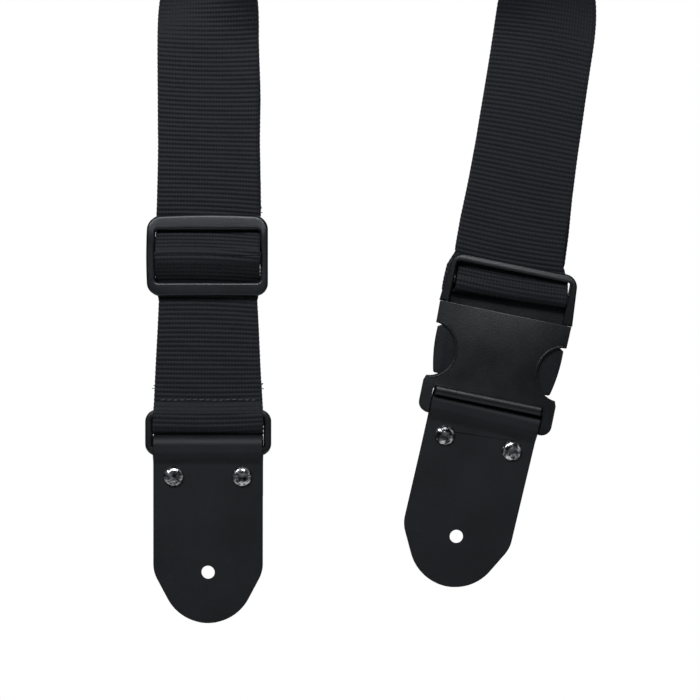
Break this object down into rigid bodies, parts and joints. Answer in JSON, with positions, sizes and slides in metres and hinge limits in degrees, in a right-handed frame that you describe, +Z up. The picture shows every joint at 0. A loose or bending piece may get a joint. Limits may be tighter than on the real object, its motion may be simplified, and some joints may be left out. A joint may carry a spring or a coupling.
{
  "type": "guitar strap",
  "caption": "Adjustable webbing guitar strap with a three-bar slider, a side-release buckle and two riveted leather ends with strap-button holes.",
  "frame": {"origin": "the hang point: underside of the shoulder loop at its highest place, in the middle of the webbing's width", "axes": "+Z up, -Y towards the front that both leather ends face, +X towards the buckle side"},
  "size_m": [0.2233, 0.0502, 0.4612],
  "materials": {
    "webbing": "black ribbed polypropylene webbing",
    "thread": "black sewing thread",
    "plastic": "black moulded acetal with a fine texture",
    "leather": "black smooth leather with a satin finish",
    "nickel": "polished nickel plate"
  },
  "bodies": {
    "strap": {"webbing": "webbing", "hem_stitching": "thread", "tail_stitching_lower": "thread", "tail_stitching_upper": "thread"},
    "slider": {"slider_frame": "plastic"},
    "ring": {"ring": "plastic"},
    "left_end": {"left_leather": "leather", "left_rivet_inner_cap": "nickel", "left_rivet_inner_post": "nickel", "left_rivet_outer_cap": "nickel", "left_rivet_outer_post": "nickel"},
    "buckle_male": {"male_frame": "plastic"},
    "press_arm_left": {"arm_left": "plastic"},
    "press_arm_right": {"arm_right": "plastic"},
    "buckle_female": {"female_housing": "plastic"},
    "right_end": {"right_leather": "leather", "right_rivet_inner_cap": "nickel", "right_rivet_inner_post": "nickel", "right_rivet_outer_cap": "nickel", "right_rivet_outer_post": "nickel"}
  },
  "joints": [
    {"name": "slider_slide", "type": "slide", "parent": "strap", "child": "slider", "axis": [0, 0, 1], "range_m": [-0.035, 0.06], "deforming": ["webbing"]},
    {"name": "ring_swing", "type": "hinge", "parent": "strap", "child": "ring", "pos_m": [-0.085, 0, -0.355], "axis": [1, 0, 0], "range_deg": [-45, 45]},
    {"name": "left_end_swing", "type": "hinge", "parent": "ring", "child": "left_end", "pos_m": [-0.085, 0, -0.3733], "axis": [1, 0, 0], "range_deg": [-70, 70]},
    {"name": "buckle_swing", "type": "hinge", "parent": "strap", "child": "buckle_male", "pos_m": [0.06399, -0.0025, -0.29379], "axis": [0.9796, 0, -0.2011], "range_deg": [0, 60]},
    {"name": "press_left", "type": "hinge", "parent": "buckle_male", "child": "press_arm_left", "pos_m": [0.03405, -0.0025, -0.30536], "axis": [0, -1, 0], "range_deg": [0, 9], "stiffness_Nm_per_rad": 0.03},
    {"name": "press_right", "type": "hinge", "parent": "buckle_male", "child": "press_arm_right", "pos_m": [0.08695, -0.0025, -0.31622], "axis": [0, 1, 0], "range_deg": [0, 9], "stiffness_Nm_per_rad": 0.03},
    {"name": "buckle_release", "type": "slide", "parent": "buckle_male", "child": "buckle_female", "axis": [-0.2011, 0, -0.9796], "range_m": [0, 0.045]},
    {"name": "right_end_swing", "type": "hinge", "parent": "buckle_female", "child": "right_end", "pos_m": [0.0514, -0.0025, -0.35515], "axis": [0.9796, 0, -0.2011], "range_deg": [-70, 70]}
  ]
}
